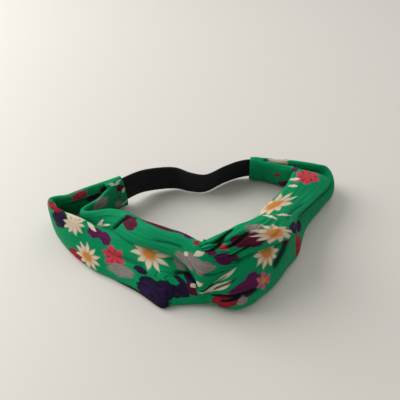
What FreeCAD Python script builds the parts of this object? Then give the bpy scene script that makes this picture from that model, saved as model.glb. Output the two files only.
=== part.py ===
import FreeCAD, Part
import math
import os

# A knotted headband, in millimetres, +Z up. The origin lies on the surface the band stands on, under
# the middle of the ring. Two satin tubes are each folded into a loop and hooked through each other at
# the front, like two links of a chain. Each loop's two arms run round the head to the back, where a
# gathered sleeve holds them and the flat elastic that joins left to right.

SIZES = {
    "arm_width": 24,            # the folded satin tube, measured across the band
    "arm_thickness": 8,
    "bundle_width": 12,         # the same tube where the knot squeezes it together
    "bundle_thickness": 9,
    "knot_x": 28,               # centre of the knot
    "knot_y": -30.6,
    "knot_z": 24.2,
    "knot_heading": 20,         # degrees: the band's direction through the knot, in plan
    "knot_lean": 31,            # degrees: the band's upper edge leans in over the ring
    "knot_skew": 36,            # degrees: each loop lies turned this far out of the band's face
    "loop_reach": 17,           # from the band's middle line to the middle of either arm
    "crown_gap": 2.4,           # free space between the two hooked loops
    "gather_spread": 4.0,       # from a sleeve's middle line to the middle of either arm inside it
    "sleeve_width": 26,
    "sleeve_thickness": 14,
    "elastic_width": 20,
    "elastic_thickness": 1.4,
    "tongue_clearance": 0.4,    # round the elastic inside the sleeve that moves away from it
    "thread_diameter": 0.7,
    "stitch_length": 2.6,
    "stitches_per_face": 6,
    "ring_middle_x": 0.24,       # the middle of the whole band, in the coordinates of the lists below
    "ring_middle_y": 5.33,
}

# Stations along the four arms, from the knot to the back of the head: x, y, z of the tube's middle,
# the lean of its upper edge in degrees, and its width and thickness as shares of the sheet's sizes.
LEFT_FRONT_ARM = [
    (3, -31, 31.5, 30, 0.72, 1.10),
    (-18, -30, 34.0, 30, 0.72, 1.00),
    (-37, -22.5, 34.5, 30, 0.78, 0.95),
    (-54, -12, 31.0, 28, 0.90, 0.80),
    (-68, -2, 23.5, 22, 0.98, 0.70),
    (-77, 2.5, 17.5, 15, 1.00, 0.65),
    (-82.5, 6, 15.0, 8, 1.00, 0.60),
    (-80.5, 9.2, 14.0, 3, 1.00, 0.60),
    (-74, 10.2, 13.6, 0, 1.00, 0.65),
]
LEFT_BACK_ARM = [
    (6, -39, 11.0, 30, 0.90, 1.20),
    (-17, -46.5, 12.2, 32, 1.20, 1.10),
    (-37, -38, 12.4, 30, 1.20, 1.05),
    (-57, -28, 12.8, 28, 1.22, 1.00),
    (-75, -14.5, 13.2, 22, 1.18, 0.88),
    (-89, -1, 12.4, 16, 1.08, 0.80),
    (-95.5, 7, 12.0, 10, 1.00, 0.75),
    (-94.5, 12.8, 12.2, 5, 1.00, 0.75),
    (-87, 16.2, 12.8, 0, 1.00, 0.75),
    (-76, 18.8, 13.2, 0, 1.02, 0.75),
]
RIGHT_BACK_ARM = [
    (45, -6, 32.5, 45, 0.80, 1.10),
    (56, 3, 29.5, 45, 0.85, 1.00),
    (66, 14, 25.5, 42, 0.90, 0.90),
    (76.5, 26, 21.0, 34, 0.95, 0.80),
    (84, 34.5, 16.8, 24, 0.98, 0.72),
    (85.5, 40.6, 14.6, 16, 0.98, 0.70),
    (81.5, 44.6, 13.4, 12, 0.98, 0.70),
    (73, 46.8, 12.8, 12, 0.98, 0.70),
]
RIGHT_FRONT_ARM = [
    (52, -36, 11.5, 35, 0.92, 1.15),
    (64, -22.5, 9.2, 40, 0.98, 1.05),
    (73.5, -6, 9.2, 38, 0.96, 1.00),
    (83.5, 12, 9.4, 34, 0.94, 0.90),
    (91, 26, 10.2, 26, 0.93, 0.80),
    (95, 36, 11.0, 18, 0.96, 0.70),
    (93.5, 44.5, 11.6, 14, 0.96, 0.70),
    (86, 50.8, 12.0, 12, 0.96, 0.70),
    (75, 55.2, 12.2, 12, 0.96, 0.70),
]
# The gathered sleeves, from the arms' ends to the mouth that the elastic leaves by.
LEFT_SLEEVE = [
    (-66, 18.4, 13.2, 0, 1.00, 1.12),
    (-58.5, 22.9, 13.1, 0, 1.03, 0.88),
    (-54.2, 25.6, 13.1, 0, 1.04, 0.74),
    (-50, 28.4, 13.2, 0, 1.05, 0.64),
]
RIGHT_SLEEVE = [
    (63, 54.2, 12.0, 12, 0.95, 1.10),
    (50, 58.6, 11.6, 13, 0.94, 0.80),
    (45, 59.6, 11.5, 14, 0.93, 0.70),
    (40.5, 60.3, 11.4, 14, 0.93, 0.62),
]
SEWN_STATIONS = (1, 2)      # the sleeve's two rows of stitches cross it at these stations
# The elastic, from its end inside the left sleeve to its end inside the right one.
ELASTIC = [
    (-60, 22.0, 15.0, 0),
    (-50, 28.4, 14.6, 0),
    (-34, 39.8, 12.4, 0),
    (-15, 45.4, 11.2, 2),
    (6, 43.4, 11.0, 9),
    (22, 52.4, 11.1, 11),
    (40.5, 60.3, 11.5, 14),
    (54, 57.6, 11.7, 13),
]

SEWN_WIDTH = 0.8            # the share of the sleeve's width that the stitches cover
GATHERED_WIDTH = 1.0        # an arm's shares of the sheet's width and thickness where it is sewn in
GATHERED_THICKNESS = 0.75
SECTION_STEP = 5            # about this far from one section of a soft piece to the next
CROWN_STEPS = 12            # sections round each loop's half turn, less one
TABLE_SPAN = 400            # a slab under everything, with its top on the table
TABLE_DEPTH = 20

UP = FreeCAD.Vector(0, 0, 1)
doc = FreeCAD.newDocument("KnottedHeadband")


def fill_sheet():
    sheet = doc.addObject("Spreadsheet::Sheet", "Sizes")
    for row, (alias, value) in enumerate(SIZES.items(), start=1):
        cell = "B" + str(row)
        sheet.set("A" + str(row), alias)
        sheet.set(cell, str(value))
        sheet.setAlias(cell, alias)
    doc.recompute()
    return sheet


sizes = fill_sheet()


def unit(direction):
    return direction * (1.0 / direction.Length)


def turned(direction, axis, degrees):
    return FreeCAD.Rotation(axis, degrees).multVec(direction)


def facing(long_axis, along):
    """The rotation that lays a section's long axis as given and its normal along the band."""
    return FreeCAD.Rotation(long_axis, along.cross(long_axis), along, "ZXY")


def oval(name, centre, long_axis, along, width, thickness):
    """An oval section, with its width and thickness as expressions in the sheet's sizes."""
    section = doc.addObject("Part::Ellipse", name)
    section.setExpression("MajorRadius", "(" + width + ") / 2")
    section.setExpression("MinorRadius", "(" + thickness + ") / 2")
    section.Placement = FreeCAD.Placement(centre, facing(long_axis, along))
    return section


def strip(name, centre, long_axis, along, margin):
    """The elastic's thin upright section, with a margin all round."""
    section = doc.addObject("Part::Plane", name)
    section.setExpression("Length", "Sizes.elastic_width + 2 * " + margin)
    section.setExpression("Width", "Sizes.elastic_thickness + 2 * " + margin)
    doc.recompute()
    rotation = facing(long_axis, along)
    half = FreeCAD.Vector(section.Length.Value / 2, section.Width.Value / 2, 0)
    section.Placement = FreeCAD.Placement(centre - rotation.multVec(half), rotation)
    return section


def loft(label, sections, straight=False):
    solid = doc.addObject("Part::Loft", label + "_loft")
    solid.Sections = sections
    solid.Solid = True
    solid.Ruled = straight
    return solid


def cut(label, base, tool):
    left_over = doc.addObject("Part::Cut", label)
    left_over.Base = base
    left_over.Tool = tool
    return left_over


def flattened(label, solid):
    """A soft piece lies flat where it meets the table."""
    slab = doc.addObject("Part::Box", label + "_table")
    slab.Length = TABLE_SPAN
    slab.Width = TABLE_SPAN
    slab.Height = TABLE_DEPTH
    slab.Placement.Base = FreeCAD.Vector(-TABLE_SPAN / 2, -TABLE_SPAN / 2, -TABLE_DEPTH)
    return cut(label + "_flattened", solid, slab)


def from_middle(x, y, z):
    """A place in the lists' coordinates, moved so that the origin is under the middle of the band."""
    return FreeCAD.Vector(x - sizes.ring_middle_x, y - sizes.ring_middle_y, z)


def middle(station):
    return from_middle(*station[:3])


def travel(stations):
    """The level direction of the band at each station, from the stations on either side."""
    centres = [middle(station) for station in stations]
    directions = []
    for index in range(len(centres)):
        step = centres[min(index + 1, len(centres) - 1)] - centres[max(index - 1, 0)]
        directions.append(level(step))
    return directions


def level(direction):
    return unit(FreeCAD.Vector(direction.x, direction.y, 0))


class Route:
    """A smooth curve through the middles of some stations, with what lies between them blended."""

    def __init__(self, stations, first=None, last=None):
        self.stations = stations
        points = [middle(station) for station in stations]
        self.curve = Part.BSplineCurve()
        if first is None:
            self.curve.interpolate(points)
        else:
            self.curve.interpolate(Points=points, InitialTangent=first, FinalTangent=last)
        self.places = [self.curve.parameter(point) for point in points]

    def traits(self, place):
        """The station's last numbers at a place on the curve, blended between its neighbours."""
        after = 1
        while after < len(self.places) - 1 and self.places[after] < place:
            after += 1
        before = after - 1
        share = (place - self.places[before]) / (self.places[after] - self.places[before])
        return [low + (high - low) * share
                for low, high in zip(self.stations[before][3:], self.stations[after][3:])]

    def evenly(self):
        """Middles, level directions and traits at even steps, as a smooth loft needs them."""
        count = round(self.curve.length() / SECTION_STEP) + 1
        for spot in self.curve.toShape().discretize(Number=count):
            place = self.curve.parameter(spot)
            yield spot, level(self.curve.tangent(place)[0]), self.traits(place)


def inward(along, lean, ring_side):
    """A section's long axis: upright, with its top leaned in over the ring. The ring's middle is on the
    right of the direction of travel when ring_side is 1, and on its left when it is -1."""
    return turned(UP, along, ring_side * lean)


def soft_section(name, centre, along, traits, ring_side, kind):
    """An oval section sized in shares of the sheet's width and thickness of its kind."""
    lean, width, thickness = traits
    return oval(name, centre, inward(along, lean, ring_side), along,
                "Sizes." + kind + "_width * " + str(width),
                "Sizes." + kind + "_thickness * " + str(thickness))


def knot_axes():
    """Along the band through the knot, and up its leaning face."""
    along = turned(FreeCAD.Vector(1, 0, 0), UP, sizes.knot_heading)
    return along, turned(UP, along, -sizes.knot_lean)


class Loop:
    """One tube's loop at the knot: the spoke points from the band's middle line to its front arm or,
    on the right, to its back arm, which is the upper one. Side is -1 on the left and 1 on the right."""

    def __init__(self, label, side, tilt):
        self.label = label
        self.side = side
        self.along, rise = knot_axes()
        self.spoke = turned(rise, self.along, tilt)
        self.root_lean = sizes.knot_lean - tilt
        self.away = self.along * side
        hook = sizes.loop_reach - (sizes.bundle_width + sizes.crown_gap) / 2
        knot = from_middle(sizes.knot_x, sizes.knot_y, sizes.knot_z)
        self.turn_centre = knot + self.away * hook

    def crown(self):
        """The half turn round the other loop."""
        sections = []
        for step in range(CROWN_STEPS + 1):
            angle = math.pi * step / CROWN_STEPS
            outward = self.spoke * math.cos(angle) - self.away * math.sin(angle)
            path = self.spoke * math.sin(angle) + self.away * math.cos(angle)
            sections.append(oval(self.label + "_crown_section_" + str(step),
                                 self.turn_centre + outward * sizes.loop_reach, outward, path,
                                 "Sizes.bundle_width", "Sizes.bundle_thickness"))
        return loft(self.label + "_crown", sections)

    def arm(self, name, end, stations, sleeve_stations):
        """An arm, from the upper (1) or lower (-1) end of the half turn to the sleeve's near face,
        where the upper arm comes in on the ring's side of the lower one."""
        root = self.turn_centre + self.spoke * (end * sizes.loop_reach)
        root_station = (root.x + sizes.ring_middle_x, root.y + sizes.ring_middle_y, root.z,
                        self.root_lean, sizes.bundle_width / sizes.arm_width,
                        sizes.bundle_thickness / sizes.arm_thickness)
        along = travel(sleeve_stations)[0]
        ring_side = UP.cross(along) * self.side
        gather = middle(sleeve_stations[0]) + ring_side * (end * sizes.gather_spread)
        gather_station = (gather.x + sizes.ring_middle_x, gather.y + sizes.ring_middle_y, gather.z,
                          sleeve_stations[0][3], GATHERED_WIDTH, GATHERED_THICKNESS)
        route = Route([root_station] + stations + [gather_station], self.away, along)
        sections = [soft_section(self.label + name + "_section_" + str(index), spot, along, traits,
                                 -self.side, "arm")
                    for index, (spot, along, traits) in enumerate(route.evenly())]
        return loft(self.label + name, sections, True)

    def sleeve(self, stations, hollow):
        """The gathered end of both arms, with the elastic's room taken out."""
        label = self.label + "_sleeve"
        directions = travel(stations)
        sections = [soft_section(label + "_section_" + str(index), middle(station), along,
                                 station[3:], -self.side, "sleeve")
                    for index, (station, along) in enumerate(zip(stations, directions))]
        return cut(label + "_hollowed", flattened(label, loft(label, sections, True)), hollow)

    def stitches(self, stations):
        """Thread across the sleeve, over the elastic's end, in two rows on each face."""
        directions = travel(stations)
        threads = []
        for row in SEWN_STATIONS:
            lean, width, thickness = stations[row][3:]
            long_axis = inward(directions[row], lean, -self.side)
            short_axis = directions[row].cross(long_axis)
            half_width = sizes.sleeve_width * width / 2
            half_thickness = sizes.sleeve_thickness * thickness / 2
            for face in (-1, 1):
                for place in range(sizes.stitches_per_face):
                    share = (place + 0.5) / sizes.stitches_per_face * 2 - 1
                    angle = math.acos(share * SEWN_WIDTH)
                    spot = (middle(stations[row]) + long_axis * (half_width * math.cos(angle))
                            + short_axis * (face * half_thickness * math.sin(angle)))
                    lie = unit(long_axis * (-half_width * math.sin(angle))
                               + short_axis * (face * half_thickness * math.cos(angle)))
                    threads.append(self.stitch(len(threads), spot, lie))
        group = doc.addObject("Part::Compound", self.label + "_stitches_group")
        group.Links = threads
        return group

    def stitch(self, number, spot, lie):
        thread = doc.addObject("Part::Cylinder", self.label + "_stitch_" + str(number))
        thread.setExpression("Radius", "Sizes.thread_diameter / 2")
        thread.setExpression("Height", "Sizes.stitch_length")
        start = spot - lie * (sizes.stitch_length / 2)
        thread.Placement = FreeCAD.Placement(start, FreeCAD.Rotation(UP, lie))
        return thread


def elastic_strip(label, margin, overrun):
    """The elastic as a smooth strip, or the room round it when a margin and an overrun are given."""
    sections = []
    for index, (spot, along, traits) in enumerate(Route(ELASTIC).evenly()):
        sections.append(strip(label + "_section_" + str(index), spot,
                              inward(along, traits[0], 1), along, margin))
    sections[-1].Placement.Base = sections[-1].Placement.Base + along * overrun
    return loft(label, sections)


def make_parts():
    left = Loop("left", -1, sizes.knot_skew)
    right = Loop("right", 1, -sizes.knot_skew)
    elastic = elastic_strip("elastic", "0", 0)
    room = elastic_strip("elastic_room", "Sizes.tongue_clearance", sizes.tongue_clearance)
    return {
        "left_crown": left.crown(),
        "left_front_arm": left.arm("_front_arm", 1, LEFT_FRONT_ARM, LEFT_SLEEVE),
        "left_back_arm": flattened("left_back_arm",
                                   left.arm("_back_arm", -1, LEFT_BACK_ARM, LEFT_SLEEVE)),
        "left_sleeve": left.sleeve(LEFT_SLEEVE, elastic),
        "left_stitches": left.stitches(LEFT_SLEEVE),
        "elastic_band": elastic,
        "right_crown": right.crown(),
        "right_back_arm": right.arm("_back_arm", 1, RIGHT_BACK_ARM, RIGHT_SLEEVE),
        "right_front_arm": flattened("right_front_arm",
                                     right.arm("_front_arm", -1, RIGHT_FRONT_ARM, RIGHT_SLEEVE)),
        "right_sleeve": right.sleeve(RIGHT_SLEEVE, room),
        "right_stitches": right.stitches(RIGHT_SLEEVE),
    }


def check(parts):
    doc.recompute()
    for item in doc.Objects:
        if "Invalid" in item.State or "Error" in item.State:
            raise RuntimeError(item.Name + " failed: " + str(item.State))
    for label, item in parts.items():
        if item.Shape.isNull() or not item.Shape.isValid():
            raise RuntimeError(label + " has no valid shape")


def export(parts):
    os.makedirs("parts", exist_ok=True)
    for label, item in parts.items():
        item.Label = label
        item.Shape.exportStep("parts/" + label + ".step")
        box = item.Shape.BoundBox
        print(label, "volume", round(item.Shape.Volume), "solids", len(item.Shape.Solids),
              "x", round(box.XMin, 1), round(box.XMax, 1), "y", round(box.YMin, 1),
              round(box.YMax, 1), "z", round(box.ZMin, 1), round(box.ZMax, 1))


made = make_parts()
check(made)
export(made)
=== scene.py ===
import math
import random
import bpy
import numpy as np
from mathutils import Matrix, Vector


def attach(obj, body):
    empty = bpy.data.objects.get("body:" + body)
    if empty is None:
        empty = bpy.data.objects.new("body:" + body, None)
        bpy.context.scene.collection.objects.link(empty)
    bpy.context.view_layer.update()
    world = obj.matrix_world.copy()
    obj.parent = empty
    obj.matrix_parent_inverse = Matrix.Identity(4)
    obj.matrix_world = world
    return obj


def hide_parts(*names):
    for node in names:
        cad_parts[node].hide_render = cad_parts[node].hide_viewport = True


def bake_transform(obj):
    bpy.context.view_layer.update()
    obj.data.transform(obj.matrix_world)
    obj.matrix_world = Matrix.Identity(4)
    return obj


# The looks of the knotted headband: two sewn tubes of printed satin, hooked through each other at the
# knot, the hems that gather their ends, the elastic between the hems and the thread that holds it.
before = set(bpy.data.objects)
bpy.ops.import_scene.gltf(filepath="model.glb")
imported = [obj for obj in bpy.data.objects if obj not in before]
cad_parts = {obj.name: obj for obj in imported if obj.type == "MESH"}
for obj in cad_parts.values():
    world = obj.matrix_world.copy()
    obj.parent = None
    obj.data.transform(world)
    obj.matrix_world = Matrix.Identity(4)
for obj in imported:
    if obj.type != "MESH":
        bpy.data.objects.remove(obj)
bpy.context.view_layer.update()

MM = 0.001                  # metres: the tables and the cloth's coordinates are in mm
HALF_GIRTH = 32.0           # mm: a tube pressed flat is this wide, from its upper to its lower edge
HEM_WALL = 0.8              # mm: the hem's doubled cloth
STEP = 1.0                  # mm, roughly, between the rings of a tube's mesh
HEM_STEP = 0.6              # the same in a hem
MOUTH_BULGE = 0.6           # how far a hem's mouth edge stands out past its last ring, in steps
COLUMNS = 112               # points round a ring
OUTLINE_POINTS = 721        # points on the fine outline that a ring's points are spaced along
TRACE_POINTS = 60           # points to a section on the fine path that the rings are spaced along
CLOTH_SQUARENESS = 2.5      # the exponent of a cloth section's superellipse
WEBBING_SQUARENESS = 9      # the same for the flat elastic
FLOOR_GAP = 0.15            # mm kept clear of the surface that the band lies on
TUBE_PUCKER = 5.2           # mm of flat cloth from gather to gather round a tube
HEM_PUCKER = 2.9            # the same where the stitching draws a hem in
WAVE_HEIGHT = 0.16          # mm: the scale of the cloth's slow waves
RIB_PITCH = 3.3             # from rib to rib in the elastic's v, which spans twice HALF_GIRTH too
RIB_HEIGHT = 0.10           # mm

# Sections through the tubes, in mm: the upper edge, the lower edge, the thickness, how far the middle of
# the face stands proud of its edges, and the height of the gathers. Each tube starts at the layer of its
# hem that faces into the ring, runs to the knot, turns there, and runs back to the outer layer.
LEFT_TUBE = [
    ((-50.5, 21.5, 25.5), (-49.5, 20.8, 3), 3.5, 0, 0.2),
    ((-54.5, 17.8, 25), (-54.5, 17.8, 2), 4, 0, 0.2),
    ((-58.5, 12, 24.5), (-60.5, 15.5, 2), 5, 0, 0.2),
    ((-61.5, 6, 24), (-65.5, 12.5, 3), 5.5, 0, 0.15),
    ((-65.5, 1.5, 24), (-69.5, 9, 5), 5, 0, 0.1),
    ((-69, -2.5, 24.5), (-72.5, 4.5, 8), 4.5, 0, 0.1),
    ((-69.5, -6, 25.5), (-72, -2, 12), 4.5, 0, 0.1),
    ((-66, -8.3, 27), (-68, -7, 14), 5, 0, 0.1),
    ((-60.5, -8.3, 28), (-61.5, -11.5, 15.5), 6, 0, 0.1),
    ((-52, -8, 29.5), (-52.5, -16, 18), 7, 0, 0.1),
    ((-41.5, -11.5, 30.5), (-44.5, -23.5, 20.5), 8, 0, 0.1),
    ((-31, -21.5, 34.5), (-36.5, -29.5, 22.5), 8.5, 0, 0.1),
    ((-22.5, -28, 38), (-25.5, -35, 25), 9, 0, 0.1),
    ((-14.5, -33, 39.5), (-16.5, -38.5, 26), 9, 0, 0.1),
    ((-9, -36.5, 40.5), (-9.5, -42, 26), 9, 0, 0.15),
    ((-4, -39.5, 40.5), (-3.5, -46, 24.5), 9, 0, 0.25),
    ((-0.5, -42, 40.5), (0.5, -50, 21.5), 9, 0, 0.4),
    ((2.5, -44, 41), (3, -53.5, 17), 9, 0, 0.5),
    ((5, -46.5, 39.5), (4.5, -55.5, 13.5), 8.5, 0, 0.7),
    ((9, -48, 37.5), (8, -54, 16.5), 7.5, 0, 0.8),
    ((13.5, -48.5, 35.5), (13, -51.5, 20.5), 6.5, 0, 0.9),
    ((18, -49, 33), (18, -50.5, 25), 5.5, 0, 0.8),
    ((22.5, -48, 30.5), (22.5, -48.5, 27), 4.5, 0, 0.7),
    ((27, -43, 29), (27, -44, 25), 5, 0, 0.5),
    ((29, -37, 23), (30, -42, 20), 6, 0, 0.5),
    ((26, -36, 15), (27, -42, 12.5), 7, 0, 0.5),
    ((19, -41, 9.5), (20, -48, 6.5), 7, 0, 0.5),
    ((12, -47.5, 9), (12, -54, 3), 6.5, 0, 0.5),
    ((6.5, -51, 10.5), (7, -55, 1.2), 7, 0, 0.5),
    ((1, -48.5, 14.5), (0.5, -55.5, 0.8), 7.5, 0, 0.4),
    ((-4, -43.5, 18), (-5.5, -56, 0.6), 8, 0, 0.25),
    ((-9, -39, 20.5), (-12.5, -57, 0.5), 8, 0, 0.2),
    ((-16, -35, 22), (-18.5, -59, 0.5), 7.5, 0, 0.15),
    ((-21, -32.5, 22), (-22.8, -56.5, 0.5), 7.5, 0, 0.12),
    ((-27.5, -29.5, 22), (-28.5, -52, 0.5), 8, 0, 0.1),
    ((-36.5, -26, 22), (-35, -47.5, 0.5), 8, 0, 0.1),
    ((-44, -22.5, 22), (-43, -43, 0.5), 8, 0, 0.1),
    ((-52, -18.5, 22), (-51.5, -38, 0.5), 8, 0, 0.1),
    ((-60, -15.5, 22.5), (-60.5, -33.5, 0.5), 8, 0, 0.1),
    ((-67, -12.5, 24), (-68.5, -28, 0.5), 7.5, 0, 0.1),
    ((-74, -10, 25), (-76.5, -21.5, 0.5), 7, 0, 0.1),
    ((-81, -7, 25.5), (-84.5, -13, 0.5), 6.5, 0, 0.1),
    ((-87.5, -3.5, 26), (-91.5, -3, 0.5), 6, 0, 0.1),
    ((-91.5, 1, 26), (-95, 6, 0.5), 5.5, 0, 0.1),
    ((-92.5, 5, 25), (-95, 12, 0.5), 5.5, 0, 0.1),
    ((-89.5, 7.5, 24), (-91, 14, 0.5), 5.5, 0, 0.1),
    ((-84, 9, 23.5), (-85.5, 15, 0.5), 6, 0, 0.1),
    ((-77, 12, 25), (-78.5, 16.5, 0.5), 6, 0, 0.12),
    ((-70, 15, 26), (-71, 18, 0.5), 6, 0, 0.15),
    ((-63.5, 18, 26.2), (-63.5, 20, 0.5), 5.5, 0, 0.25),
    ((-57.5, 21, 26.2), (-57, 22.5, 1), 4.5, 0, 0.4),
    ((-51.5, 25, 26), (-51, 25.5, 2.5), 4, 0, 0.4),
]
RIGHT_TUBE = [
    ((40, 46.5, 22.5), (41, 51, 2), 4, 0, 0.3),
    ((47, 44.5, 22.5), (49.5, 49, 1.8), 4.5, 0, 0.3),
    ((55.5, 41.5, 23), (58.5, 45.5, 1.6), 5, 0, 0.2),
    ((62.5, 38.5, 23.7), (65.5, 42, 2), 5.5, 0, 0.15),
    ((66.5, 36.5, 24.5), (73.5, 40.5, 4), 5.5, 0, 0.1),
    ((67, 33.5, 25.5), (82, 39.5, 11), 5.5, 0, 0.1),
    ((65, 27.5, 26.2), (89, 35.5, 16.5), 5.5, 0, 0.1),
    ((62, 21.5, 26.8), (92.5, 29.5, 18.5), 5.5, 0, 0.1),
    ((58.5, 14.5, 27.3), (91.5, 24, 18.5), 6, 0, 0.1),
    ((54, 8, 28), (88.5, 19, 18.7), 6, 0, 0.1),
    ((49, 1.5, 28.5), (83.5, 13.5, 19.7), 6.5, 0, 0.1),
    ((44.5, -4, 29), (78.5, 7.5, 20.5), 7, 0, 0.1),
    ((40.5, -9, 30), (73.5, 1.5, 21.5), 7, 0, 0.12),
    ((37.5, -14.5, 31.5), (67.5, -5, 23), 7.5, 0, 0.15),
    ((34.5, -20.5, 34), (62, -12.5, 25), 8, 0, 0.2),
    ((30.5, -25.5, 37), (59.5, -20.5, 26.5), 8.5, 0, 0.3),
    ((24.5, -30, 39), (58, -27, 27.5), 9, 0, 0.4),
    ((19.5, -35, 42), (51.5, -32, 29), 10, 0, 0.5),
    ((14, -39, 43), (41.5, -38, 30), 10, 0, 0.7),
    ((9, -42.5, 43), (30, -43.5, 31), 9.5, 0, 0.9),
    ((6, -44, 42.5), (22, -47.5, 32), 9, 0, 1.0),
    ((4.5, -44, 42.5), (14.5, -48, 34), 8, 0, 1.0),
    ((3, -43.5, 39), (8.5, -46.5, 34.5), 6.5, 0, 0.8),
    ((1, -40.5, 33), (3, -43.5, 31), 6, 0, 0.6),
    ((-0.5, -38, 25), (1, -43, 23), 6, 0, 0.6),
    ((0, -42, 17.5), (1, -48, 15.5), 5, 0, 0.6),
    ((2, -51.5, 13.5), (2, -54, 11.5), 4, 0, 0.5),
    ((3.5, -55.8, 13.2), (3.8, -56, 10), 4, 0, 0.5),
    ((6.5, -54.5, 16), (6, -56.5, 7), 5, 0, 0.7),
    ((10.5, -53, 20), (10, -57.5, 4), 6.5, 0, 0.8),
    ((14.5, -52, 24), (14, -58.5, 2.5), 8, 0, 0.8),
    ((18, -51, 27), (18.5, -59, 1.5), 9, 0, 0.7),
    ((22, -48, 30), (23.5, -59, 1), 10, 0, 0.6),
    ((26, -43.5, 31.5), (29.5, -56.5, 0.8), 11, 0, 0.5),
    ((31, -40, 31.5), (33.7, -53.7, 0.6), 11, 0, 0.4),
    ((36, -39, 30.5), (38.7, -49.2, 0.5), 10.5, 0, 0.3),
    ((41.5, -35.5, 28.5), (43.8, -45, 0.5), 9.5, 0, 0.25),
    ((47, -31, 26), (49.7, -38.6, 0.5), 8.5, 0, 0.2),
    ((52, -25, 23.5), (55.8, -30.8, 0.5), 8, 0, 0.15),
    ((56, -17.5, 21.5), (63, -22.5, 0.5), 7.5, 0, 0.15),
    ((58.5, -9.5, 19), (67, -12.5, 0.5), 7.5, 0, 0.1),
    ((62.5, -3, 17.5), (71, -2.5, 0.5), 7, 0, 0.1),
    ((68.5, 3.5, 16.5), (77, 7.5, 0.5), 7, 0, 0.1),
    ((76.5, 11.5, 15.5), (84, 16.5, 0.5), 7, 0, 0.1),
    ((85.5, 20, 14), (90.5, 24.5, 0.5), 6.5, 0, 0.1),
    ((93.5, 28, 13.5), (96.5, 32, 0.5), 6, 0, 0.1),
    ((95, 34.5, 18), (97.5, 39.5, 0.5), 5.5, 0, 0.1),
    ((92, 39.5, 22), (94, 45.5, 0.5), 5, 0, 0.1),
    ((84.5, 42, 22.5), (86.5, 48.5, 0.5), 5, 0, 0.12),
    ((76, 44, 22.5), (78, 50.5, 0.5), 5, 0, 0.15),
    ((66.5, 45.5, 22.8), (68.5, 52, 0.5), 5, 0, 0.2),
    ((56.5, 46.8, 22.8), (58.5, 53, 0.5), 5, 0, 0.3),
    ((47, 48, 22.8), (48.5, 53.5, 0.6), 4.5, 0, 0.3),
    ((39.8, 49, 22.5), (40.8, 54.2, 1), 4, 0, 0.3),
]
LEFT_CUFF = [
    ((-59.5, 16.5, 26.3), (-59.5, 17, 1.8), 8.5, 0, 0.35),
    ((-55, 20, 26.8), (-54.5, 20, 2), 9, 0, 0.45),
    ((-50.2, 23.3, 27), (-49, 22.5, 2.2), 8.5, 0, 0.5),
]
RIGHT_CUFF = [
    ((39.2, 47.3, 23.2), (40.5, 52, 0.9), 8.5, 0, 0.3),
    ((44, 46.7, 23.2), (45.3, 51.5, 0.9), 9, 0, 0.3),
    ((48, 45.9, 23), (49.5, 50.7, 1), 8.5, 0, 0.2),
]
ELASTIC = [
    ((-59, 17.4, 24), (-58, 17.8, 5), 1.4, 0, 0),
    ((-50, 23.8, 25), (-49, 24, 5.5), 1.4, 0, 0),
    ((-41, 31, 24.5), (-41.5, 31, 4.5), 1.4, 0, 0),
    ((-32.5, 36.5, 22.8), (-33.5, 36, 2.8), 1.4, 0, 0),
    ((-15, 39.7, 21.3), (-15.5, 39.8, 1.3), 1.4, 0, 0),
    ((-4, 34.5, 21), (-4.5, 37, 1), 1.4, 0, 0),
    ((6.5, 32.5, 20.8), (6, 36.5, 0.9), 1.4, 0, 0),
    ((20.5, 41.5, 20.8), (20, 46, 0.9), 1.4, 0, 0),
    ((31, 47, 21), (31, 51.5, 1.1), 1.4, 0, 0),
    ((40, 48.2, 21.6), (40.5, 52.4, 2.6), 1.4, 0, 0),
    ((52, 45.6, 21.4), (53, 50, 2.6), 1.4, 0, 0),
]


def smooth(share):
    """A soft step from 0 to 1."""
    share = np.clip(share, 0, 1)
    return share * share * (3 - 2 * share)


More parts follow.
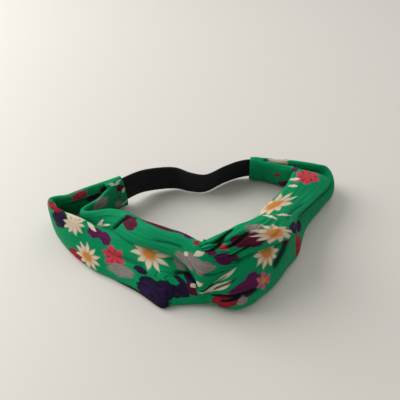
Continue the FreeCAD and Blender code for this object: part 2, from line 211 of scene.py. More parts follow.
class Tube:
    """A closed section carried smoothly through the listed ones, as a grid of rings and columns."""

    def __init__(self, sections, step=STEP, squareness=CLOTH_SQUARENESS):
        given = np.array([[*top, *low, *rest] for top, low, *rest in sections], float)
        middles = (given[:, 0:3] + given[:, 3:6]) / 2
        chords = np.linalg.norm(np.diff(middles, axis=0), axis=1)
        self.knots = np.concatenate([[0], np.cumsum(np.sqrt(chords))])
        fine = np.linspace(0, self.knots[-1], TRACE_POINTS * len(sections))
        traced = self.blended(given, fine)
        centre = (traced[:, 0:3] + traced[:, 3:6]) / 2
        run = np.concatenate([[0], np.cumsum(np.linalg.norm(np.diff(centre, axis=0), axis=1))])
        self.length = run[-1]
        self.along = np.linspace(0, self.length, int(self.length / step) + 1)
        place = np.interp(self.along, run, fine)
        self.station_runs = np.interp(self.knots, fine, run)
        rows = self.blended(given, place)
        self.top, self.low = rows[:, 0:3], rows[:, 3:6]
        self.thick, self.proud, self.gather = rows[:, 6], rows[:, 7], rows[:, 8]
        self.squareness = squareness

    def blended(self, given, places):
        """The sections' numbers between stations, on a curve that passes through every station."""
        slope = np.zeros_like(given)
        steps = np.diff(self.knots)[:, None]
        rise = np.diff(given, axis=0) / steps
        slope[1:-1] = (rise[:-1] * steps[1:] + rise[1:] * steps[:-1]) / (steps[1:] + steps[:-1])
        slope[0], slope[-1] = rise[0], rise[-1]
        before = np.clip(np.searchsorted(self.knots, places, side="right") - 1, 0, len(given) - 2)
        span = steps[before]
        t = ((places - self.knots[before]) / span[:, 0])[:, None]
        leave, leave_slope = 2 * t ** 3 - 3 * t ** 2 + 1, t ** 3 - 2 * t ** 2 + t
        reach, reach_slope = 3 * t ** 2 - 2 * t ** 3, t ** 3 - t ** 2
        return (given[before] * leave + slope[before] * span * leave_slope
                + given[before + 1] * reach + slope[before + 1] * span * reach_slope)

    def at(self, station, share, face):
        """A place in the cloth, in mm along and round the tube: face is 1 on the side that the tube's
        travel turns clockwise to, -1 on the other, and share runs from the upper to the lower edge."""
        run = np.interp(station, range(len(self.station_runs)), self.station_runs)
        return run, -face * share * HALF_GIRTH

    def grid(self, relief=None):
        """The points of every ring, and the cloth's own coordinates there."""
        centre = (self.top + self.low) / 2
        rise = self.top - self.low
        width = np.linalg.norm(rise, axis=1)
        up = rise / width[:, None]
        travel = np.gradient(centre, axis=0)
        out = np.cross(travel, up)
        out /= np.linalg.norm(out, axis=1)[:, None]
        angle = np.linspace(-math.pi / 2, 3 * math.pi / 2, OUTLINE_POINTS)
        power = 2 / self.squareness
        across = np.sign(np.sin(angle)) * np.abs(np.sin(angle)) ** power
        outward = np.sign(np.cos(angle)) * np.abs(np.cos(angle)) ** power
        share = np.linspace(0, 1, COLUMNS + 1)
        x, n = [], []
        for half_width, half_thick, proud in zip(width / 2, self.thick / 2, self.proud):
            px, pn = across * half_width, outward * half_thick + proud * (1 - across ** 2)
            run = np.concatenate([[0], np.cumsum(np.hypot(np.diff(px), np.diff(pn)))])
            x.append(np.interp(share * run[-1], run, px))
            n.append(np.interp(share * run[-1], run, pn))
        x, n = np.array(x), np.array(n)
        dx, dn = np.gradient(x, axis=1), np.gradient(n, axis=1)
        dx[:, 0] = dx[:, -1] = x[:, 1] - x[:, -2]
        dn[:, 0] = dn[:, -1] = n[:, 1] - n[:, -2]
        size = np.hypot(dx, dn) + 1e-9
        s = np.repeat(self.along[:, None], COLUMNS + 1, axis=1)
        v = np.repeat((share[None, :] - 0.5) * 2 * HALF_GIRTH, len(self.along), axis=0)
        if relief is not None:
            lift = relief(self, s, v)
            x, n = x - lift * dn / size, n + lift * dx / size
        points = centre[:, None] + up[:, None] * x[..., None] + out[:, None] * n[..., None]
        points[..., 2] = np.maximum(points[..., 2], FLOOR_GAP)
        return points, s, v


def ridge(phase):
    """Rounded folds with sharp valleys between them, one for each whole number of the phase."""
    return np.abs(np.sin(np.pi * phase)) ** 0.8 - 0.62


def crease(tube, s, v, face, start, end, depth, width):
    """A fold line pressed into one face, from one (station, share) to another, deepest at its middle."""
    s0, v0 = tube.at(*start, face)
    s1, v1 = tube.at(*end, face)
    span = np.array([s1 - s0, v1 - v0])
    reach = np.linalg.norm(span)
    ahead, aside = span / reach, np.array([-span[1], span[0]]) / reach
    t = ((s - s0) * ahead[0] + (v - v0) * ahead[1]) / reach
    d = (s - s0) * aside[0] + (v - v0) * aside[1]
    fade = smooth(4 * t) * smooth(4 * (1 - t))
    return -depth * np.exp(-(d / width) ** 2) * fade


def cloth_relief(creases, pucker):
    """Gathers where a section asks for them, slow waves everywhere, and the listed creases."""
    def relief(tube, s, v):
        drift = 1.6 * np.sin(s / 17.0) + 1.1 * np.sin(v / 6.1 + s / 31.0)
        gathers = ridge((v + drift) / pucker) + 0.5 * ridge((v - drift) / (0.6 * pucker) + 0.4)
        waves = (np.sin(s / 9.5 + v / 7.0) + 0.7 * np.sin(s / 5.7 - v / 9.0 + 1.3)) * WAVE_HEIGHT
        lift = gathers * tube.gather[:, None] + waves
        for line in creases:
            lift = lift + crease(tube, s, v, *line)
        return lift
    return relief


def add_piece(name, points, faces):
    """A smooth mesh object from points in mm."""
    mesh = bpy.data.meshes.new(name)
    mesh.from_pydata((points * MM).tolist(), [], faces)
    mesh.polygons.foreach_set("use_smooth", [True] * len(mesh.polygons))
    piece = bpy.data.objects.new(name, mesh)
    bpy.context.scene.collection.objects.link(piece)
    return piece


def mesh_piece(name, points, uv, shade=None, sewn=False):
    """A piece from a grid of points, with the cloth's coordinates as its UV map, and how far each point
    lies down in a crease as its painted shade. A sewn piece has its last column joined to its first, and
    its ends closed."""
    rings, columns = points.shape[:2]
    grid = np.arange(rings * columns).reshape(rings, columns)
    corners = np.stack([grid[:-1, :-1], grid[:-1, 1:], grid[1:, 1:], grid[1:, :-1]], -1).reshape(-1, 4)
    if sewn:
        index = np.arange(rings * (columns - 1)).reshape(rings, columns - 1)
        index = np.concatenate([index, index[:, :1]], axis=1).ravel()
        kept = points[:, :-1]
    else:
        index, kept = grid.ravel(), points
    faces, corners = index[corners].tolist(), corners.ravel()
    if sewn:
        ends = grid[0, -2::-1], grid[-1, :-1]
        faces += [index[end].tolist() for end in ends]
        corners = np.concatenate([corners, *ends])
    piece = add_piece(name, kept.reshape(-1, 3), faces)
    layer = piece.data.uv_layers.new(name="cloth")
    layer.data.foreach_set("uv", np.stack([c.ravel()[corners] for c in uv], -1).ravel())
    if shade is not None:
        depth = piece.data.attributes.new("shade", "FLOAT", "POINT")
        depth.data.foreach_set("value", shade.ravel())
    piece.data.update()
    return piece


# Materials ---------------------------------------------------------------------------------------

class Graph:
    """Short calls that add nodes to a tree and link them."""

    def __init__(self, tree):
        self.tree = tree

    def add(self, kind, **settings):
        node = self.tree.nodes.new(kind)
        for key, value in settings.items():
            setattr(node, key, value)
        return node

    def put(self, socket, value):
        if isinstance(value, bpy.types.NodeSocket):
            self.tree.links.new(value, socket)
        else:
            socket.default_value = value

    def math(self, operation, *values, clamp=False):
        node = self.add("ShaderNodeMath", operation=operation, use_clamp=clamp)
        for socket, value in zip(node.inputs, values):
            self.put(socket, value)
        return node.outputs[0]

    def vector(self, operation, *values):
        node = self.add("ShaderNodeVectorMath", operation=operation)
        for socket, value in zip(node.inputs, values):
            self.put(socket, value)
        return node.outputs["Value" if operation == "LENGTH" else "Vector"]

    def mix(self, share, low, high):
        node = self.add("ShaderNodeMix", data_type="RGBA")
        for socket, value in zip((node.inputs[0], node.inputs[6], node.inputs[7]), (share, low, high)):
            self.put(socket, value)
        return node.outputs[2]

    def noise(self, where, scale, detail=2.0):
        node = self.add("ShaderNodeTexNoise", noise_dimensions="2D")
        for key, value in (("Vector", where), ("Scale", scale), ("Detail", detail)):
            self.put(node.inputs[key], value)
        return node

    def parts(self, vector):
        node = self.add("ShaderNodeSeparateXYZ")
        self.put(node.inputs[0], vector)
        return node.outputs[0], node.outputs[1]

    def bump(self, height, distance, normal=None):
        node = self.add("ShaderNodeBump")
        self.put(node.inputs["Height"], height)
        node.inputs["Distance"].default_value = distance
        if normal is not None:
            self.put(node.inputs["Normal"], normal)
        return node.outputs[0]


def rgb(red, green, blue):
    """An opaque colour, in linear light."""
    return (red, green, blue, 1.0)


def new_material(name):
    """A material, its graph and its shader."""
    material = bpy.data.materials.new(name)
    material.use_nodes = True
    graph = Graph(material.node_tree)
    return material, graph, graph.tree.nodes["Principled BSDF"]


def motif_group(name, colours, draw):
    """A node group that lays one printed motif, or one line of painted shade, over the colour it is given.
    Its place, turn and size are inputs, and draw gets the motif's own coordinates, in which it is one unit
    from middle to tip."""
    tree = bpy.data.node_groups.new(name, "ShaderNodeTree")
    sockets = [("Under", "NodeSocketColor"), ("Cloth", "NodeSocketVector"), ("Place", "NodeSocketVector"),
               ("Turn", "NodeSocketVector"), ("Size", "NodeSocketVector")]
    for label, kind in sockets + [(colour, "NodeSocketColor") for colour in colours]:
        tree.interface.new_socket(label, in_out="INPUT", socket_type=kind)
    tree.interface.new_socket("Colour", in_out="OUTPUT", socket_type="NodeSocketColor")
    tree.interface.new_socket("Cloth", in_out="OUTPUT", socket_type="NodeSocketVector")
    graph = Graph(tree)
    given = graph.add("NodeGroupInput").outputs
    local = graph.add("ShaderNodeMapping", vector_type="TEXTURE")
    for key, source in (("Vector", "Cloth"), ("Location", "Place"),
                        ("Rotation", "Turn"), ("Scale", "Size")):
        graph.put(local.inputs[key], given[source])
    colour, mask = draw(graph, local.outputs[0], given)
    result = graph.add("NodeGroupOutput")
    graph.put(result.inputs[0], graph.mix(mask, given["Under"], colour))
    # A millionth of the mask rides along in the place, so that the motifs are worked out one at a time.
    graph.put(result.inputs[1], graph.vector("MULTIPLY_ADD", mask, (1e-6, 1e-6, 0.0), given["Cloth"]))
    return tree


def petals(graph, where, count, inner, sharpness, offset=0.0):
    """How far inside a ring of pointed petals a place is, and the wave that runs from petal to petal."""
    x, y = graph.parts(where)
    turn = graph.math("ARCTAN2", y, x)
    phase = graph.math("MULTIPLY_ADD", turn, count / (2 * math.pi), count + offset)
    wave = graph.math("MULTIPLY", graph.math("PINGPONG", phase, 0.5), 2.0)
    reach = graph.math("MULTIPLY_ADD", graph.math("POWER", wave, sharpness), 1 - inner, inner)
    return graph.math("SUBTRACT", reach, graph.vector("LENGTH", where)), wave


def edge(graph, inside, crispness):
    """A mask that rises from 0 at an outline to 1 inside it."""
    return graph.math("MULTIPLY", inside, crispness, clamp=True)


def shaken(graph, where, scale, amount):
    """The place moved by noise, so that an outline isn't regular."""
    noise = graph.noise(where, scale)
    shift = graph.vector("SUBTRACT", noise.outputs["Color"], (0.5, 0.5, 0.5))
    return graph.vector("ADD", where, graph.vector("MULTIPLY", shift, (amount, amount, 0.0)))


def draw_lily(graph, where, given):
    """Two rings of pointed petals, shaded between the petals and toward the soft heart."""
    place = shaken(graph, where, scale=1.1, amount=0.30)
    outer, wave = petals(graph, place, count=10, inner=0.62, sharpness=1.35)
    inner, wave_in = petals(graph, place, count=9, inner=0.36, sharpness=1.1, offset=0.5)
    petal = graph.mix(edge(graph, wave, crispness=2.2), given["Shade"], given["Petal"])
    above = graph.mix(edge(graph, wave_in, crispness=1.6), given["Shade"], given["Petal"])
    petal = graph.mix(edge(graph, graph.math("SUBTRACT", inner, 0.30), crispness=7), petal, above)
    heart = graph.math("SUBTRACT", 0.47, graph.vector("LENGTH", place))
    colour = graph.mix(edge(graph, heart, crispness=4.5), petal, given["Heart"])
    return colour, edge(graph, outer, crispness=7)


def draw_lotus(graph, where, given):
    """Broad petals, darker between them, round a wide heart."""
    place = shaken(graph, where, scale=1.3, amount=0.35)
    outer, wave = petals(graph, place, count=6, inner=0.68, sharpness=1.0)
    petal = graph.mix(edge(graph, wave, crispness=2.6), given["Shade"], given["Petal"])
    heart = graph.math("SUBTRACT", 0.50, graph.vector("LENGTH", place))
    colour = graph.mix(edge(graph, heart, crispness=2.6), petal, given["Heart"])
    return colour, edge(graph, outer, crispness=6)


def draw_patch(graph, where, given):
    """A ragged patch, clouded with a second colour and edged with a third."""
    place = shaken(graph, where, scale=1.4, amount=0.75)
    inside = graph.math("SUBTRACT", 1.0, graph.vector("LENGTH", place))
    clouds = graph.noise(where, 1.7).outputs["Fac"]
    share = graph.math("MULTIPLY_ADD", clouds, 3.0, -1.0, clamp=True)
    fill = graph.mix(share, given["Fill"], given["Tint"])
    rim = graph.math("SUBTRACT", 0.24, inside)
    return graph.mix(edge(graph, rim, crispness=8), fill, given["Rim"]), edge(graph, inside, crispness=9)


def draw_sliver(graph, where, given):
    """A single petal, pointed at both ends."""
    x, y = graph.parts(where)
    inside = graph.math("SUBTRACT", graph.math("SUBTRACT", 1.0, graph.math("MULTIPLY", x, x)),
                        graph.math("ABSOLUTE", y))
    colour = graph.mix(graph.math("ABSOLUTE", x, clamp=True), given["Petal"], given["Shade"])
    return colour, edge(graph, inside, crispness=5)


# The print's colours (BLACK also paints the lines of painted shade), and the painted shade that cloth
# falls to deep in a crease.
GREEN = rgb(0.001, 0.29, 0.112)
GREEN_DEEP = rgb(0.001, 0.20, 0.075)
CREAM = rgb(0.66, 0.54, 0.40)
BLUSH = rgb(0.42, 0.25, 0.17)
ORANGE = rgb(0.55, 0.22, 0.04)
PINK = rgb(0.58, 0.035, 0.09)
MAGENTA = rgb(0.11, 0.010, 0.035)
CORAL = rgb(0.48, 0.06, 0.03)
INDIGO = rgb(0.024, 0.012, 0.060)
VIOLET = rgb(0.072, 0.010, 0.090)
BLACK = rgb(0.006, 0.006, 0.010)
MAUVE = rgb(0.23, 0.17, 0.16)
GREY = rgb(0.24, 0.25, 0.22)
WINE = rgb(0.060, 0.006, 0.010)
RED = rgb(0.42, 0.014, 0.026)
RED_DEEP = rgb(0.20, 0.008, 0.020)
WHITE = rgb(0.66, 0.60, 0.50)
DUSK = rgb(0.012, 0.006, 0.022)
ROSE = rgb(0.42, 0.12, 0.16)
PAINTED_CREASE_SHADE = rgb(0.002, 0.010, 0.006)

MOTIFS = {
    "lily": (draw_lily, {"Petal": CREAM, "Shade": BLUSH, "Heart": ORANGE}),
    "lotus": (draw_lotus, {"Petal": PINK, "Shade": MAGENTA, "Heart": CORAL}),
    "indigo": (draw_patch, {"Fill": INDIGO, "Tint": DUSK, "Rim": BLACK}),
    "purple": (draw_patch, {"Fill": VIOLET, "Tint": MAGENTA, "Rim": VIOLET}),
    "wine": (draw_patch, {"Fill": WINE, "Tint": MAGENTA, "Rim": VIOLET}),
    "red": (draw_patch, {"Fill": RED, "Tint": RED_DEEP, "Rim": RED_DEEP}),
    "mauve": (draw_patch, {"Fill": MAUVE, "Tint": GREY, "Rim": MAUVE}),
    "bloom": (draw_lily, {"Petal": CREAM, "Shade": BLUSH, "Heart": CREAM}),
    "rose": (draw_lotus, {"Petal": ROSE, "Shade": VIOLET, "Heart": ORANGE}),
    "loop": (draw_patch, {"Fill": GREEN, "Tint": GREEN, "Rim": BLACK}),
    # Not print: the 'line' kind lays black lines of painted shadow and painted crease shade.
    "line": (draw_patch, {"Fill": BLACK, "Tint": BLACK, "Rim": BLACK}),
    "petal": (draw_sliver, {"Petal": WHITE, "Shade": CREAM}),
}
groups = {name: motif_group(name, colours, draw) for name, (draw, colours) in MOTIFS.items()}


# The weave and the knit: pitches in the cloth's own coordinates, and heights in metres. The scale of the
# thread's twist is the wave texture's own.
WARP_PITCH, WEFT_PITCH, WEAVE_HEIGHT = 0.42, 0.30, 0.00002
RUMPLE_HEIGHT = 0.0009
KNIT_LENGTH, KNIT_WIDTH, KNIT_HEIGHT = 0.9, 1.2, 0.00012
ELASTIC_BLACK, ELASTIC_LINT = rgb(0.004, 0.004, 0.005), rgb(0.012, 0.011, 0.014)
THREAD_DARK, THREAD_LIGHT = rgb(0.005, 0.12, 0.06), rgb(0.02, 0.30, 0.15)
TWIST_SCALE, TWIST_HEIGHT = 900.0, 0.00008


def weave_normal(graph, cloth):
    """Fine satin weave over soft lengthwise rumples, as a bumped normal."""
    s, v = graph.parts(cloth)
    warp = graph.math("SINE", graph.math("MULTIPLY", s, 2 * math.pi / WARP_PITCH))
    weft = graph.math("SINE", graph.math("MULTIPLY", v, 2 * math.pi / WEFT_PITCH))
    threads = graph.math("MULTIPLY", warp, weft)
    stretched = graph.vector("MULTIPLY", cloth, (0.05, 0.28, 0.0))
    rumples = graph.noise(stretched, 1.0, 3.0).outputs["Fac"]
    return graph.bump(threads, WEAVE_HEIGHT, graph.bump(rumples, RUMPLE_HEIGHT))


def printed_satin(name, tube, motifs):
    """Green satin with each motif laid over the ones before it, and painted shade in its creases."""
    material, graph, shader = new_material(name)
    cloth = graph.add("ShaderNodeUVMap", uv_map="cloth").outputs[0]
    mottle = graph.noise(graph.vector("MULTIPLY", cloth, (0.03, 0.05, 0.0)), 1.0).outputs["Fac"]
    colour, place = graph.mix(mottle, GREEN_DEEP, GREEN), cloth
    for kind, station, share, face, length, width, turn in motifs:
        node = graph.add("ShaderNodeGroup", node_tree=groups[kind])
        run, round_it = tube.at(station, share, face)
        graph.put(node.inputs["Under"], colour)
        graph.put(node.inputs["Cloth"], place)
        node.inputs["Place"].default_value = (run, round_it, 0)
        node.inputs["Turn"].default_value = (0, 0, math.radians(turn))
        node.inputs["Size"].default_value = (length, width, 1)
        for label, tone in MOTIFS[kind][1].items():
            node.inputs[label].default_value = tone
        colour, place = node.outputs
    # Painted shade: the cloth's colour falls toward a dark one where it lies deep in a crease.
    painted_shade_share = graph.add("ShaderNodeAttribute", attribute_name="shade").outputs["Fac"]
    graph.put(shader.inputs["Base Color"], graph.mix(painted_shade_share, colour, PAINTED_CREASE_SHADE))
    shader.inputs["Roughness"].default_value = 0.5
    shader.inputs["Specular IOR Level"].default_value = 0.05
    shader.inputs["Sheen Weight"].default_value = 0.01
    shader.inputs["Sheen Roughness"].default_value = 0.4
    graph.put(shader.inputs["Normal"], weave_normal(graph, cloth))
    return material


def black_elastic():
    """Black knitted webbing, slightly grey with lint."""
    material, graph, shader = new_material("black_elastic")
    cloth = graph.add("ShaderNodeUVMap", uv_map="cloth").outputs[0]
    s, v = graph.parts(cloth)
    knit = graph.math("MULTIPLY",
                      graph.math("SINE", graph.math("MULTIPLY", s, 2 * math.pi / KNIT_LENGTH)),
                      graph.math("SINE", graph.math("MULTIPLY", v, 2 * math.pi / KNIT_WIDTH)))
    lint = graph.noise(graph.vector("MULTIPLY", cloth, (0.4, 0.4, 0.0)), 1.0, 4.0).outputs["Fac"]
    graph.put(shader.inputs["Base Color"], graph.mix(lint, ELASTIC_BLACK, ELASTIC_LINT))
    shader.inputs["Roughness"].default_value = 0.8
    shader.inputs["Specular IOR Level"].default_value = 0.25
    graph.put(shader.inputs["Normal"], graph.bump(knit, KNIT_HEIGHT))
    return material


def thread_material():
    """Green sewing thread with its twist."""
    material, graph, shader = new_material("sewing_thread")
    place = graph.add("ShaderNodeTexCoord").outputs["Object"]
    twist = graph.add("ShaderNodeTexWave", bands_direction="DIAGONAL")
    graph.put(twist.inputs["Vector"], place)
    twist.inputs["Scale"].default_value = TWIST_SCALE
    graph.put(shader.inputs["Base Color"], graph.mix(twist.outputs["Fac"], THREAD_DARK, THREAD_LIGHT))
    shader.inputs["Roughness"].default_value = 0.7
    graph.put(shader.inputs["Normal"], graph.bump(twist.outputs["Fac"], TWIST_HEIGHT))
    return material


# The stage -----------------------------------------------------------------------------------------

FLOOR_HALF = 3.0                        # metres from the floor's middle to its edges
FLOOR_TONE = rgb(0.64, 0.612, 0.567)
SKY_TONE = rgb(1.0, 0.98, 0.95)
SKY_STRENGTH = 0.46
# Each light's name, place and size in metres, and power in watts.
LIGHTS = [
    ("key", (-0.76, 0.30, 0.62), 0.8, 11.0),
    ("back", (0.5, 0.8, 0.9), 1.2, 3.0),
]
LOOK_AT = Vector((0.0028, 0.0287, 0.0))
CAMERA_AWAY = 0.290                     # metres from the camera to that point
CAMERA_PITCH = math.radians(45)
LENS = 36                               # mm, and the width of the sensor behind it


def lay_floor():
    """The plain pale floor."""
    mesh = bpy.data.meshes.new("floor")
    far = FLOOR_HALF
    mesh.from_pydata([(-far, -far, 0), (far, -far, 0), (far, far, 0), (-far, far, 0)], [], [(0, 1, 2, 3)])
    floor = bpy.data.objects.new("floor", mesh)
    bpy.context.scene.collection.objects.link(floor)
    material, _, shader = new_material("floor")
    shader.inputs["Base Color"].default_value = FLOOR_TONE
    shader.inputs["Roughness"].default_value = 0.6
    floor.data.materials.append(material)


def lights():
    """Soft light from all round, a key from the left and a weak light from behind."""
    world = bpy.data.worlds.new("studio")
    world.use_nodes = True
    sky = world.node_tree.nodes["Background"]
    sky.inputs["Color"].default_value = SKY_TONE
    sky.inputs["Strength"].default_value = SKY_STRENGTH
    bpy.context.scene.world = world
    for name, place, size, power in LIGHTS:
        lamp = bpy.data.lights.new(name, "AREA")
        lamp.size = size
        lamp.energy = power
        light = bpy.data.objects.new(name, lamp)
        light.location = place
        light.rotation_euler = (-Vector(place)).to_track_quat("-Z", "Y").to_euler()
        bpy.context.scene.collection.objects.link(light)


def camera():
    """The camera, looking down at the band's front."""
    lens = bpy.data.cameras.new("camera")
    lens.lens = LENS
    lens.sensor_width = LENS
    viewer = bpy.data.objects.new("camera", lens)
    viewer.location = LOOK_AT + CAMERA_AWAY * Vector((0, -math.cos(CAMERA_PITCH), math.sin(CAMERA_PITCH)))
    viewer.rotation_euler = (math.pi / 2 - CAMERA_PITCH, 0, 0)
    bpy.context.scene.collection.objects.link(viewer)
    bpy.context.scene.camera = viewer
    bpy.context.scene.view_settings.view_transform = "Standard"


# The pieces ----------------------------------------------------------------------------------------

# Creases: the face they are pressed into, both ends as (section, share of the way from the upper to the
# lower edge), depth and width in mm.
LEFT_CREASES = [
    (1, (10.7, 0.0), (9.4, 0.85), 1.8, 1.2),
    (1, (17.4, 0.48), (21.2, 0.60), 1.0, 1.0),
    (1, (12.0, 0.55), (15.6, 0.30), 0.7, 1.6),
    (-1, (31.5, 0.37), (29.2, 0.06), 1.4, 1.2),
    (-1, (37.5, 0.45), (33.0, 0.40), 0.6, 2.0),
    (-1, (34.5, 0.62), (31.5, 0.60), 0.6, 1.8),
    (1, (45.5, 0.30), (48.5, 0.35), 0.8, 1.5),
]
RIGHT_CREASES = [
    (-1, (21.6, 0.45), (18.4, 0.12), 2.0, 1.2),
    (-1, (20.8, 0.22), (16.8, 0.05), 1.8, 1.1),
    (-1, (20.0, 0.48), (17.0, 0.30), 1.9, 1.2),
    (-1, (20.8, 0.75), (18.2, 0.62), 1.6, 1.1),
    (-1, (15.5, 0.70), (11.5, 0.80), 0.7, 2.0),
    (1, (38.3, 0.00), (35.4, 0.50), 1.5, 3.0),
    (1, (27.8, 0.46), (34.4, 0.70), 2.2, 1.2),
    (1, (28.5, 0.30), (32.0, 0.24), 1.2, 1.1),
    (1, (29.0, 0.12), (31.0, 0.10), 0.9, 0.9),
]

# The print, and among it the lines of painted shade of the 'line' kind: kind, section, share of the way
# from the upper to the lower edge, face, half length along the tube and half width round it in mm, and
# turn in degrees.
LEFT_PRINT = [
    ("indigo", 41.2, 0.20, -1, 7, 7.5, 0),
    ("bloom", 39.8, 0.17, -1, 9.5, 8, 20),
    ("purple", 38.0, 0.17, -1, 5.5, 3.5, 10),
    ("purple", 37.1, 0.21, -1, 4.5, 4, 0),
    ("petal", 38.3, 0.08, -1, 5, 1.6, -25),
    ("petal", 8.4, 0.62, 1, 7, 1.8, 65),
    ("petal", 8.9, 0.66, 1, 5, 1.5, 20),
    ("red", 39.6, 0.86, -1, 7, 5, 0),
    ("lily", 38.5, 0.69, -1, 10, 9, 0),
    ("lotus", 36.4, 0.47, -1, 9.5, 7, 200),
    ("mauve", 36.0, 0.68, -1, 10, 4, 10),
    ("indigo", 34.3, 0.50, -1, 5, 2, 0),
    ("indigo", 33.2, 0.78, -1, 12, 8, 0),
    ("indigo", 30.7, 0.55, -1, 8, 7, 0),
    ("indigo", 31.8, 0.64, -1, 6, 5, 0),
    ("indigo", 29.6, 0.22, -1, 4.5, 5, 0),
    ("wine", 29.3, 0.40, -1, 4, 6, 0),
    ("petal", 29.2, 0.28, -1, 4, 1.5, 60),
    ("loop", 32.0, 0.43, -1, 5, 2.4, 15),
    ("loop", 31.3, 0.46, -1, 4.5, 2.4, -10),
    ("lily", 33.6, 0.17, -1, 13, 9, 0),
    # A line of painted shadow along the lower edge.
    ("line", 34.5, 0.98, -1, 22, 3, 0),
    ("mauve", 30.9, 0.10, -1, 4, 3.5, 0),
    ("wine", 10.7, 0.30, 1, 6.5, 7.5, 0),
    ("wine", 12.4, 0.02, 1, 14, 3.2, 0),
    ("mauve", 15.2, 0.62, 1, 6.5, 6, 0),
    ("mauve", 17.0, 0.42, 1, 6.5, 5.5, 0),
    ("mauve", 18.4, 0.33, 1, 5, 3.5, 0),
    ("petal", 15.4, 0.42, 1, 3.5, 1.5, 60),
    ("petal", 17.4, 0.18, 1, 5, 1.3, 50),
    ("petal", 17.6, 0.76, 1, 3.5, 1.3, 50),
    ("red", 16.6, 0.03, 1, 2.2, 2, 0),
    ("purple", 20.4, 0.12, 1, 5, 5, 0),
    # A line of painted shade in the gap under the lower edge.
    ("line", 19.6, 0.97, 1, 9, 3.5, 0),
    ("red", 42.2, 0.02, -1, 9, 2.6, 0),
    ("petal", 40.0, 0.01, -1, 9, 1.6, 0),
    ("lotus", 47.1, 0.14, 1, 7, 5, 0),
    ("wine", 48.5, 0.36, 1, 7, 4, 0),
    ("wine", 49.3, 0.20, 1, 3, 3, 0),
    ("mauve", 3.2, 0.20, -1, 6, 7, 0),
    ("petal", 1.0, 0.62, -1, 4, 1.5, 30),
]
RIGHT_PRINT = [
    ("lotus", 19.7, 0.38, -1, 3.5, 4.5, 0),
    ("wine", 18.2, 0.50, -1, 8, 8.5, 0),
    ("purple", 20.6, 0.80, -1, 4, 7, 0),
    ("purple", 21.2, 0.45, -1, 2.5, 4, 0),
    ("mauve", 17.0, 0.34, -1, 4, 4, 0),
    ("lily", 17.0, 0.68, -1, 10, 11.5, 10),
    ("lily", 12.0, 0.20, -1, 20, 12, 0),
    ("petal", 14.6, 0.34, -1, 7, 1.6, 60),
    ("petal", 14.2, 0.62, -1, 6, 1.6, 100),
    ("purple", 4.6, 0.12, 1, 4, 4, 0),
    ("purple", 5.4, 0.10, -1, 4, 4, 0),
    ("lotus", 7.0, 0.42, -1, 11, 9, 90),
    ("petal", 7.3, 0.14, -1, 4, 1.5, 80),
    ("petal", 8.4, 0.18, -1, 4, 1.5, 70),
    ("indigo", 15.6, 0.90, -1, 5, 4, 0),
    # A line of painted shadow, cast by the lower edge onto the layer under it.
    ("line", 11.0, 1.0, -1, 34, 1.6, 0),
    ("indigo", 40.3, 0.30, 1, 6, 6, 0),
    ("red", 39.2, 0.62, 1, 5, 11, 0),
    ("red", 37.9, 0.08, 1, 4, 4, 0),
    ("lily", 35.3, 0.13, 1, 10.5, 8.5, 15),
    ("purple", 32.9, 0.52, 1, 12, 6, 0),
    ("rose", 34.6, 0.57, 1, 6, 5.5, 0),
    ("red", 30.5, 0.68, 1, 7, 6, 0),
    # A line of painted shade along the crease.
    ("line", 31.6, 0.63, 1, 7, 1.2, 8),
    ("mauve", 32.2, 0.73, 1, 2.5, 3, 0),
    ("petal", 29.0, 0.24, 1, 8, 3, -10),
    ("petal", 30.2, 0.27, 1, 6, 2.5, 10),
    ("petal", 30.4, 0.08, 1, 7, 2.2, 0),
    ("bloom", 50.8, 0.04, -1, 9, 5, 0),
    ("red", 2.4, 0.38, 1, 2.5, 2.5, 0),
]
LEFT_CUFF_PRINT = [
    ("petal", 1.4, 0.10, 1, 3, 1.2, 20),
    ("petal", 0.7, 0.08, 1, 2.5, 1.2, -30),
    ("wine", 1.5, 0.25, 1, 3, 3, 0),
    ("petal", 1.8, 0.35, 1, 2.5, 1.2, 70),
    ("mauve", 0.9, 0.70, 1, 3, 4, 0),
    ("petal", 1.6, 0.75, 1, 3, 1.2, 40),
    ("red", 1.2, 0.50, 1, 1.5, 1.5, 0),
]
RIGHT_CUFF_PRINT = [
    ("wine", 0.6, 0.45, -1, 4, 5, 0),
    ("lily", 1.5, 0.70, -1, 6, 7, 0),
]
# The faces that the photograph doesn't show: what is strewn there, the range of its size in mm, the seeds,
# and the stretches as first section, last section and face.
UNSEEN_KINDS = ("lily", "lotus", "indigo", "lily", "wine", "mauve", "purple", "bloom")
UNSEEN_SIZES = (6.0, 9.5)
LEFT_SEED, RIGHT_SEED = 3, 5
LEFT_UNSEEN = [(8, 20, -1), (26, 46, 1), (45, 51, -1)]
RIGHT_UNSEEN = [(3, 20, 1), (30, 52, -1), (46, 52, 1)]
# Painted shade darkens the cloth in a crease from this depth on, over this much more depth, both in mm, up
# to this share.
SHADE_FROM, SHADE_OVER, SHADE_MOST = 0.15, 1.0, 0.92
STITCH_INSET = 2.5          # mm from a hem's mouth to its stitches
THREAD_RADIUS = 0.16        # mm
STITCH_PITCH = 4            # columns from stitch to stitch
STITCH_COLUMNS = 2.4        # columns that a stitch spans
THREAD_RINGS, THREAD_SIDES = 7, 8


def scattered(seed, stretches):
    """Motifs strewn along each stretch of sections."""
    pick = random.Random(seed)
    strewn = []
    for first, last, face in stretches:
        for place in range(first, last, 2):
            kind = pick.choice(UNSEEN_KINDS)
            size = pick.uniform(*UNSEEN_SIZES)
            strewn.append((kind, place + pick.random(), pick.uniform(0.15, 0.85), face,
                           size, size * pick.uniform(0.7, 1.0), pick.uniform(0, 360)))
    return strewn


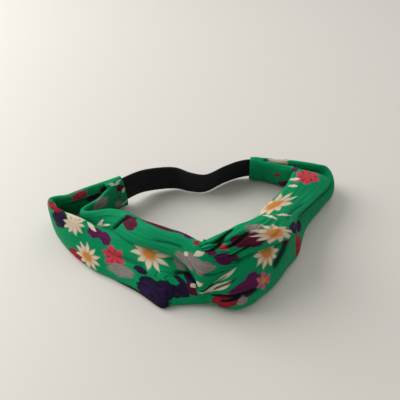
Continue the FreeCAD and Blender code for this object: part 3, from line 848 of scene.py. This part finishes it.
def satin_tube(name, sections, creases, motifs, nodes):
    """A tube of printed satin, from its hem round the knot and back."""
    tube = Tube(sections)
    points, s, v = tube.grid(cloth_relief(creases, TUBE_PUCKER))
    # How deep each point lies in the creases, made into painted shade for the print.
    sunk = -sum(crease(tube, s, v, *line) for line in creases)
    piece = mesh_piece(name, points, (s, v), SHADE_MOST * smooth((sunk - SHADE_FROM) / SHADE_OVER))
    piece.data.materials.append(printed_satin(name + "_print", tube, motifs))
    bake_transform(piece)
    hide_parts(*nodes)


def cuff(name, sections, mouth_first, body, motifs, sleeve):
    """A hem: a short hollow band of cloth with its mouth edge turned in, puckered by the stitching."""
    outside = Tube(sections, step=HEM_STEP)
    points, s, v = outside.grid(cloth_relief([], HEM_PUCKER))
    wall = (0, 0, HEM_WALL)
    inner = [(np.array(top) - wall, np.array(low) + wall, thick - 2 * HEM_WALL, 0, 0)
             for top, low, thick, proud, gather in sections]
    inside = Tube(inner, step=HEM_STEP).grid()[0]
    if mouth_first:
        points, inside, s, v = points[::-1], inside[::-1], s[::-1], v[::-1]
    rounded = (points[-1] + inside[-1]) / 2 + (points[-1] - points[-2]) * MOUTH_BULGE
    points = np.concatenate([points, rounded[None], inside[::-1]])
    s = np.concatenate([s, s[-1:], s[::-1]])
    v = np.concatenate([v, v[-1:], v[::-1]])
    piece = mesh_piece(name, points, (s, v))
    piece.data.materials.append(printed_satin(name + "_print", outside, motifs))
    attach(piece, body)
    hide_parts(sleeve)
    return outside


def stitches(name, hem, run, body, node):
    """A row of short thread stitches round a hem, each bedded at both ends in the cloth."""
    skin = hem.grid(cloth_relief([], HEM_PUCKER))[0]
    ring = int(np.argmin(abs(hem.along - run)))
    path, along = skin[ring], skin[ring + 1] - skin[ring - 1]
    out = np.cross(np.gradient(path, axis=0), along)
    out /= np.linalg.norm(out, axis=1)[:, None]
    out *= np.sign(np.sum(out * (path - path.mean(axis=0)), axis=1).sum())
    spin = np.linspace(0, 2 * np.pi, THREAD_SIDES + 1)[:-1]
    sides = range(THREAD_SIDES)
    points, faces = [], []
    for first in range(2, len(path) - STITCH_PITCH, STITCH_PITCH):
        spots = first + np.linspace(0, STITCH_COLUMNS, THREAD_RINGS)
        line = np.stack([np.interp(spots, range(len(path)), path[:, axis]) for axis in range(3)], -1)
        lift = np.stack([np.interp(spots, range(len(path)), out[:, axis]) for axis in range(3)], -1)
        side = np.cross(np.gradient(line, axis=0), lift)
        side /= np.linalg.norm(side, axis=1)[:, None]
        arch = np.sin(np.linspace(0, np.pi, THREAD_RINGS))
        start = len(points)
        for middle, outward, sideways, high in zip(line, lift, side, arch):
            radius = THREAD_RADIUS * (0.3 + 0.7 * high ** 0.5)
            middle = middle + outward * THREAD_RADIUS * (1.2 * high - 0.6)
            points += [middle + radius * (math.cos(a) * outward + math.sin(a) * sideways) for a in spin]
        for row in range(THREAD_RINGS - 1):
            base = start + row * THREAD_SIDES
            above = base + THREAD_SIDES
            faces += [(base + a, base + (a + 1) % THREAD_SIDES, above + (a + 1) % THREAD_SIDES, above + a)
                      for a in sides]
        faces += [tuple(start + a for a in reversed(sides)), tuple(above + a for a in sides)]
    piece = add_piece(name, np.array(points), faces)
    piece.data.materials.append(thread_material())
    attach(piece, body)
    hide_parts(node)


def ribs(tube, s, v):
    """The elastic's ribs, along its length."""
    return RIB_HEIGHT * np.sin(v * 2 * np.pi / RIB_PITCH)


def elastic():
    """The flat webbing between the hems."""
    strip = Tube(ELASTIC, squareness=WEBBING_SQUARENESS)
    points, s, v = strip.grid(ribs)
    piece = mesh_piece("elastic", points, (s, v), sewn=True)
    piece.data.materials.append(black_elastic())
    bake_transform(piece)
    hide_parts("elastic_band")


lay_floor()
lights()
camera()
elastic()
satin_tube("left_tube", LEFT_TUBE, LEFT_CREASES, scattered(LEFT_SEED, LEFT_UNSEEN) + LEFT_PRINT,
           ["left_crown", "left_front_arm", "left_back_arm"])
satin_tube("right_tube", RIGHT_TUBE, RIGHT_CREASES, scattered(RIGHT_SEED, RIGHT_UNSEEN) + RIGHT_PRINT,
           ["right_crown", "right_front_arm", "right_back_arm"])
left_hem = cuff("left_cuff", LEFT_CUFF, False, "left_half", LEFT_CUFF_PRINT, "left_sleeve")
right_hem = cuff("right_cuff", RIGHT_CUFF, True, "right_half", RIGHT_CUFF_PRINT, "right_sleeve")
stitches("left_thread", left_hem, left_hem.length - STITCH_INSET, "left_half", "left_stitches")
stitches("right_thread", right_hem, STITCH_INSET, "right_half", "right_stitches")
